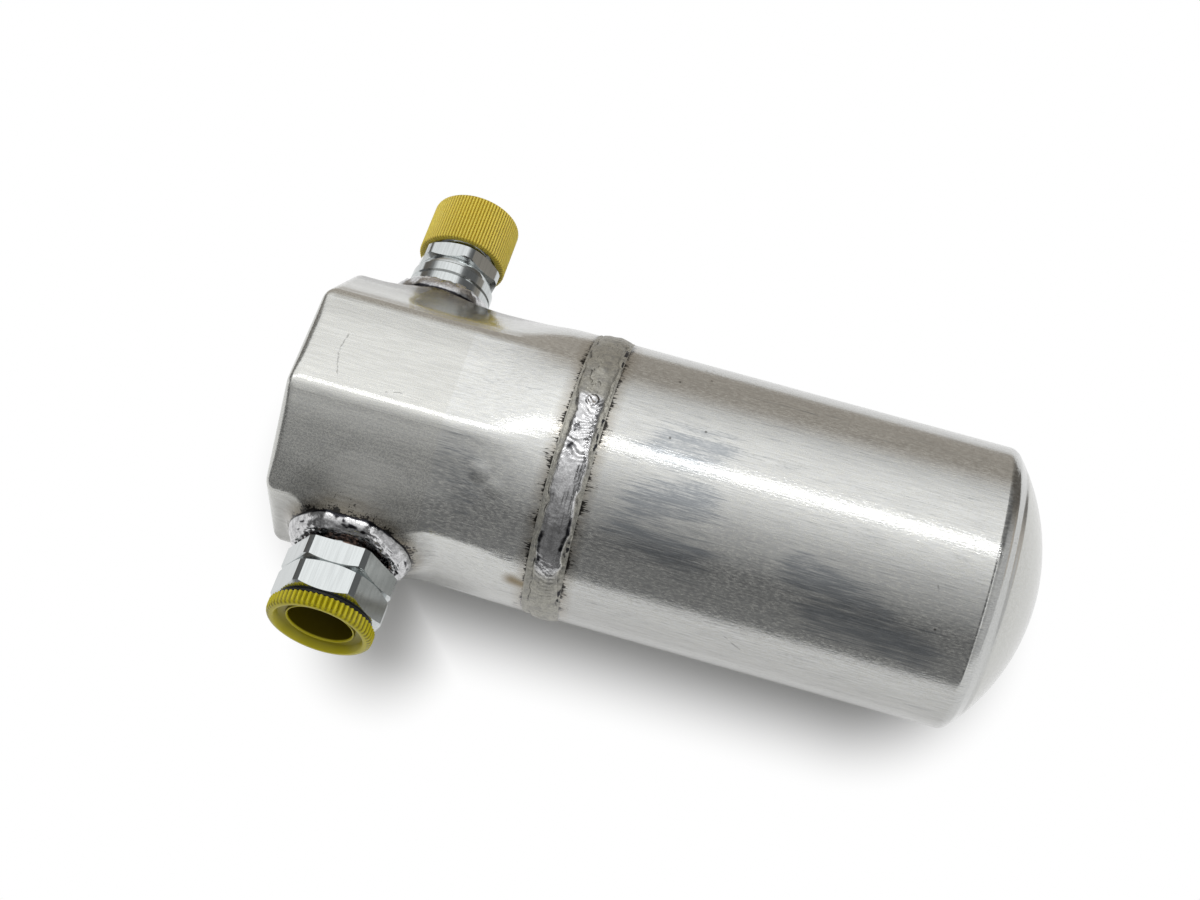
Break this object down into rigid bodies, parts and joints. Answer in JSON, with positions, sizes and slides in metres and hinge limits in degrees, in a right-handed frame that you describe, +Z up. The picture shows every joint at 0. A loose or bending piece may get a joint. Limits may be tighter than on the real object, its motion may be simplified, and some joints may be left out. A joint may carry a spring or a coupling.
{
  "type": "suction line accumulator",
  "caption": "Aluminium suction line accumulator: octagonal head welded to a domed can, opposed inlet and outlet fittings with screwed plastic closures, pickup tube inside.",
  "frame": {"origin": "on the can's axis at the middle of the straight that a clamp band grips", "axes": "+X along the can's axis towards the domed end, +Z up as the part lies on its inlet cap and girth weld; the outlet points to -Y and up, the inlet to +Y and down"},
  "size_m": [0.232, 0.157, 0.0914],
  "materials": {
    "drawn_aluminium": "satin, drawn, fine lines along the axis",
    "weld_aluminium": "rippled weld bead, sooted at its edges",
    "machined_aluminium": "bright, turned and milled",
    "tube_aluminium": "plain drawn tube and sheet",
    "cap_plastic": "moulded polyethylene, dull yellow, fine ribs",
    "plug_plastic": "moulded polyethylene, yellow-green, coarse ribs",
    "seal_rubber": "black seal rubber",
    "nylon": "natural moulded nylon",
    "steel_mesh": "fine woven wire",
    "felt": "white needled felt"
  },
  "bodies": {
    "vessel": {"head_shell": "drawn_aluminium", "can_shell": "drawn_aluminium", "girth_weld": "weld_aluminium", "outlet_fitting": "machined_aluminium", "outlet_weld": "weld_aluminium", "inlet_fitting": "machined_aluminium", "inlet_weld": "weld_aluminium", "pickup_tube": "tube_aluminium", "tube_braze": "weld_aluminium", "deflector": "tube_aluminium", "tube_spacer": "nylon", "oil_filter_body": "nylon", "oil_filter_screen": "steel_mesh", "desiccant_bag": "felt", "bag_straps": "nylon"},
    "cap_washer": {"inlet_cap_washer": "seal_rubber"},
    "cap": {"inlet_cap": "cap_plastic"},
    "plug_ring": {"outlet_plug_o_ring": "seal_rubber"},
    "plug": {"outlet_plug": "plug_plastic"}
  },
  "joints": [
    {"name": "inlet_cap_travel", "type": "slide", "parent": "vessel", "child": "cap_washer", "axis": [0, 0.9231, -0.3847], "range_m": [0, 0.0146]},
    {"name": "inlet_cap_turn", "type": "hinge", "parent": "cap_washer", "child": "cap", "pos_m": [-0.12607, 0, 0], "axis": [0, 0.9231, -0.3847], "range_deg": [0, 2880]},
    {"name": "outlet_plug_travel", "type": "slide", "parent": "vessel", "child": "plug_ring", "axis": [0, -0.9231, 0.3847], "range_m": [0, 0.0128]},
    {"name": "outlet_plug_turn", "type": "hinge", "parent": "plug_ring", "child": "plug", "pos_m": [-0.12607, 0, 0], "axis": [0, -0.9231, 0.3847], "range_deg": [0, 2520]}
  ],
  "couplings": [
    {"joint": "inlet_cap_travel", "follows": "inlet_cap_turn", "m_per_rad": 0.00028875},
    {"joint": "outlet_plug_travel", "follows": "outlet_plug_turn", "m_per_rad": 0.00028875}
  ]
}
